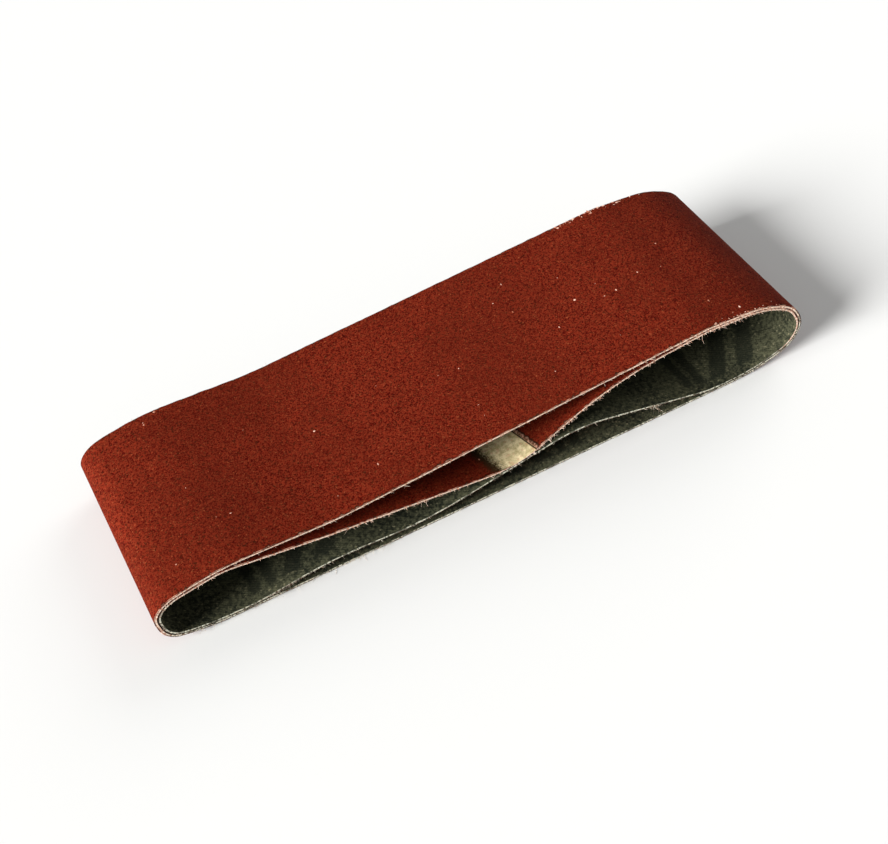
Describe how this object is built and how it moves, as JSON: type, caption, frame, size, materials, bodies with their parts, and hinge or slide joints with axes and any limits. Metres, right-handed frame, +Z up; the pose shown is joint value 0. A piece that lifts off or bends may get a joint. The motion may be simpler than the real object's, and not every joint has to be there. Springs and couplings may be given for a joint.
{
  "type": "sanding belt pair",
  "caption": "Nested pair of cloth-backed abrasive belts folded flat, the inner belt bowed inside the outer one, each a closed loop with a slanted lap joint.",
  "frame": {"origin": "middle of the pair's footprint, on the surface it lies on", "axes": "+X along the flattened belts towards the higher folded end, +Y across the belts' width, +Z up"},
  "size_m": [0.2542, 0.075, 0.0365],
  "materials": {
    "belt_cloth": "dark olive resin-finished twill",
    "make_resin": "cured red-brown resin",
    "abrasive_coat": "fine red-brown oxide grain in resin",
    "joint_adhesive": "cured amber adhesive"
  },
  "bodies": {
    "outer_belt": {"outer_belt_cloth": "belt_cloth", "outer_belt_make_coat": "make_resin", "outer_belt_abrasive": "abrasive_coat", "outer_belt_joint_glue": "joint_adhesive"},
    "inner_belt": {"inner_belt_cloth": "belt_cloth", "inner_belt_make_coat": "make_resin", "inner_belt_abrasive": "abrasive_coat", "inner_belt_joint_glue": "joint_adhesive"}
  },
  "joints": [
    {"name": "inner_belt_slide", "type": "slide", "parent": "outer_belt", "child": "inner_belt", "axis": [0, -1, 0], "range_m": [-0.08, 0.08]}
  ]
}
